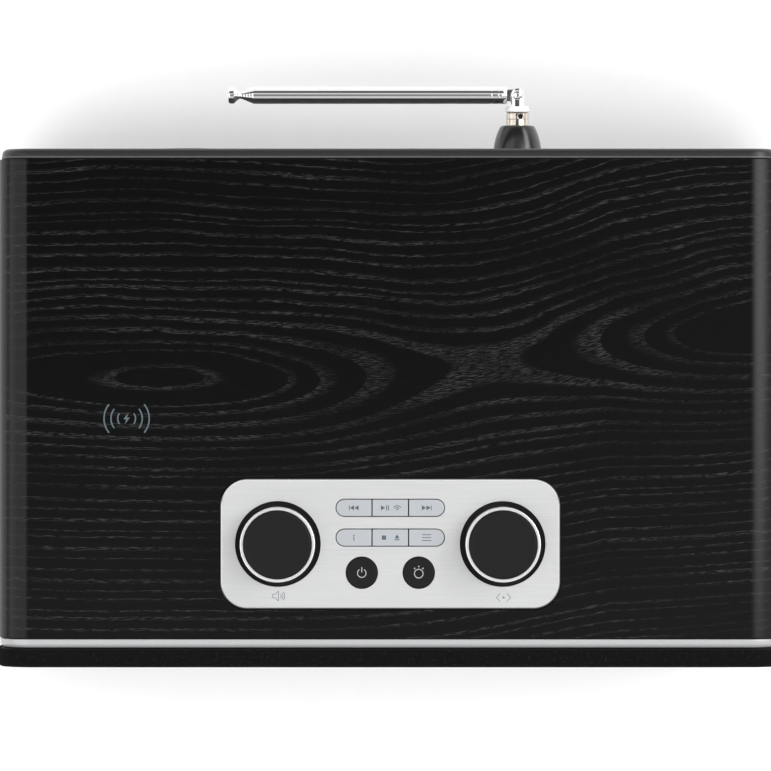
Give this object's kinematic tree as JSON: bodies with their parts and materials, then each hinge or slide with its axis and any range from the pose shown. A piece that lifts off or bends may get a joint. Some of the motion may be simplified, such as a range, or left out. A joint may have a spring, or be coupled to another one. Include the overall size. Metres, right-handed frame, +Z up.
{
  "type": "tabletop radio",
  "caption": "Tabletop radio with wooden cabinet, cloth grille, disc slot, top control plate with knobs and buttons, wireless charging spot and folding telescopic antenna.",
  "frame": {"origin": "under the middle of the whole radio's box, on the surface that the feet stand on, antenna folded", "axes": "+X to the listener's right along the cabinet's length, +Y to the rear, +Z up"},
  "size_m": [0.364, 0.2692, 0.1538],
  "materials": {
    "black_ash": "black stained ash veneer, open grain, satin lacquer",
    "dark_plastic": "fine textured moulding",
    "matt_black": "fine textured moulding",
    "knob_black": "smooth satin moulding",
    "foot_rubber": "matt moulded rubber",
    "grille_fabric": "stretched woven speaker cloth",
    "gloss_black": "polished",
    "silver_trim": "satin silver",
    "button_silver": "satin silver",
    "brushed_aluminium": "brushed along the plate, bright bevelled edge",
    "polished_chrome": "polished",
    "nickel": "turned, warm nickel",
    "white_plastic": "smooth moulding",
    "steel": "plain sheet and turned steel",
    "circuit_board": "solder mask over laminate",
    "coil_copper": "enamelled copper wire"
  },
  "bodies": {
    "radio_body": {"cabinet_shell": "black_ash", "rear_panel": "dark_plastic", "cd_chassis": "matt_black", "grille_frame": "matt_black", "front_baffle": "matt_black", "panel_tray": "matt_black", "bass_port": "matt_black", "power_inlet": "matt_black", "headphone_jack": "matt_black", "left_speaker_cone": "matt_black", "right_speaker_cone": "matt_black", "charging_shield": "matt_black", "antenna_boss": "matt_black", "front_left_foot": "foot_rubber", "front_right_foot": "foot_rubber", "rear_left_foot": "foot_rubber", "rear_right_foot": "foot_rubber", "grille_cloth": "grille_fabric", "front_fascia": "gloss_black", "display_module": "gloss_black", "trim_ring": "silver_trim", "control_plate": "brushed_aluminium", "antenna_barrel": "nickel", "cd_cover": "steel", "left_speaker_frame": "steel", "right_speaker_frame": "steel", "volume_encoder": "steel", "tuning_encoder": "steel", "lower_left_screw": "steel", "lower_right_screw": "steel", "upper_left_screw": "steel", "upper_right_screw": "steel", "control_board": "circuit_board", "main_board": "circuit_board", "charging_coil": "coil_copper"},
    "volume_knob": {"volume_knob_cap": "knob_black", "volume_knob_ring": "polished_chrome", "volume_shaft": "steel"},
    "tuning_plunger_body": {"tuning_plunger": "white_plastic"},
    "tuning_knob": {"tuning_knob_cap": "knob_black", "tuning_knob_ring": "polished_chrome", "tuning_shaft": "steel"},
    "spindle": {"disc_spindle": "matt_black"},
    "antenna_swivel_head": {"antenna_washer": "white_plastic", "antenna_knuckle": "polished_chrome", "antenna_pivot_screw": "polished_chrome"},
    "antenna_section_1": {"antenna_tube_1": "polished_chrome"},
    "antenna_section_2": {"antenna_tube_2": "polished_chrome"},
    "antenna_section_3": {"antenna_tube_3": "polished_chrome"},
    "antenna_section_4": {"antenna_tube_4": "polished_chrome"},
    "antenna_section_5": {"antenna_tube_5": "polished_chrome"},
    "antenna_tip_section": {"antenna_tip": "polished_chrome"},
    "previous_key": {"previous_button": "button_silver"},
    "play_pause_key": {"play_pause_button": "button_silver"},
    "next_key": {"next_button": "button_silver"},
    "info_key": {"info_button": "button_silver"},
    "stop_eject_key": {"stop_eject_button": "button_silver"},
    "menu_key": {"menu_button": "button_silver"},
    "power_key": {"power_button": "knob_black"},
    "source_key": {"source_button": "knob_black"}
  },
  "joints": [
    {"name": "volume_knob_spin", "type": "hinge", "parent": "radio_body", "child": "volume_knob", "pos_m": [-0.0517, -0.07765, 0.15], "axis": [0, 0, 1], "continuous": true},
    {"name": "tuning_knob_push", "type": "slide", "parent": "radio_body", "child": "tuning_plunger_body", "axis": [0, 0, -1], "range_m": [0, 0.0006], "stiffness_N_per_m": 2000, "springref_m": -0.001},
    {"name": "tuning_knob_spin", "type": "hinge", "parent": "tuning_plunger_body", "child": "tuning_knob", "pos_m": [0.0517, -0.07765, 0.15], "axis": [0, 0, 1], "continuous": true},
    {"name": "disc_spindle_spin", "type": "hinge", "parent": "radio_body", "child": "spindle", "pos_m": [0, -0.04505, 0.04], "axis": [0, 0, 1], "continuous": true},
    {"name": "previous_press", "type": "slide", "parent": "radio_body", "child": "previous_key", "axis": [0, 0, -1], "range_m": [0, 0.0008], "stiffness_N_per_m": 800, "springref_m": -0.0005},
    {"name": "play_pause_press", "type": "slide", "parent": "radio_body", "child": "play_pause_key", "axis": [0, 0, -1], "range_m": [0, 0.0008], "stiffness_N_per_m": 800, "springref_m": -0.0005},
    {"name": "next_press", "type": "slide", "parent": "radio_body", "child": "next_key", "axis": [0, 0, -1], "range_m": [0, 0.0008], "stiffness_N_per_m": 800, "springref_m": -0.0005},
    {"name": "info_press", "type": "slide", "parent": "radio_body", "child": "info_key", "axis": [0, 0, -1], "range_m": [0, 0.0008], "stiffness_N_per_m": 800, "springref_m": -0.0005},
    {"name": "stop_eject_press", "type": "slide", "parent": "radio_body", "child": "stop_eject_key", "axis": [0, 0, -1], "range_m": [0, 0.0008], "stiffness_N_per_m": 800, "springref_m": -0.0005},
    {"name": "menu_press", "type": "slide", "parent": "radio_body", "child": "menu_key", "axis": [0, 0, -1], "range_m": [0, 0.0008], "stiffness_N_per_m": 800, "springref_m": -0.0005},
    {"name": "power_press", "type": "slide", "parent": "radio_body", "child": "power_key", "axis": [0, 0, -1], "range_m": [0, 0.0008], "stiffness_N_per_m": 800, "springref_m": -0.0005},
    {"name": "source_press", "type": "slide", "parent": "radio_body", "child": "source_key", "axis": [0, 0, -1], "range_m": [0, 0.0008], "stiffness_N_per_m": 800, "springref_m": -0.0005},
    {"name": "antenna_swivel", "type": "hinge", "parent": "radio_body", "child": "antenna_swivel_head", "pos_m": [0.0594, 0.12495, 0.105], "axis": [0, 1, 0], "range_deg": [0, 180]},
    {"name": "antenna_tilt", "type": "hinge", "parent": "antenna_swivel_head", "child": "antenna_section_1", "pos_m": [0.0594, 0.13065, 0.105], "axis": [0, 0, -1], "range_deg": [0, 180]},
    {"name": "antenna_slide_1", "type": "slide", "parent": "antenna_section_1", "child": "antenna_section_2", "axis": [-1, 0, 0], "range_m": [0, 0.095]},
    {"name": "antenna_slide_2", "type": "slide", "parent": "antenna_section_2", "child": "antenna_section_3", "axis": [-1, 0, 0], "range_m": [0, 0.095]},
    {"name": "antenna_slide_3", "type": "slide", "parent": "antenna_section_3", "child": "antenna_section_4", "axis": [-1, 0, 0], "range_m": [0, 0.095]},
    {"name": "antenna_slide_4", "type": "slide", "parent": "antenna_section_4", "child": "antenna_section_5", "axis": [-1, 0, 0], "range_m": [0, 0.095]},
    {"name": "antenna_slide_5", "type": "slide", "parent": "antenna_section_5", "child": "antenna_tip_section", "axis": [-1, 0, 0], "range_m": [0, 0.095]}
  ]
}
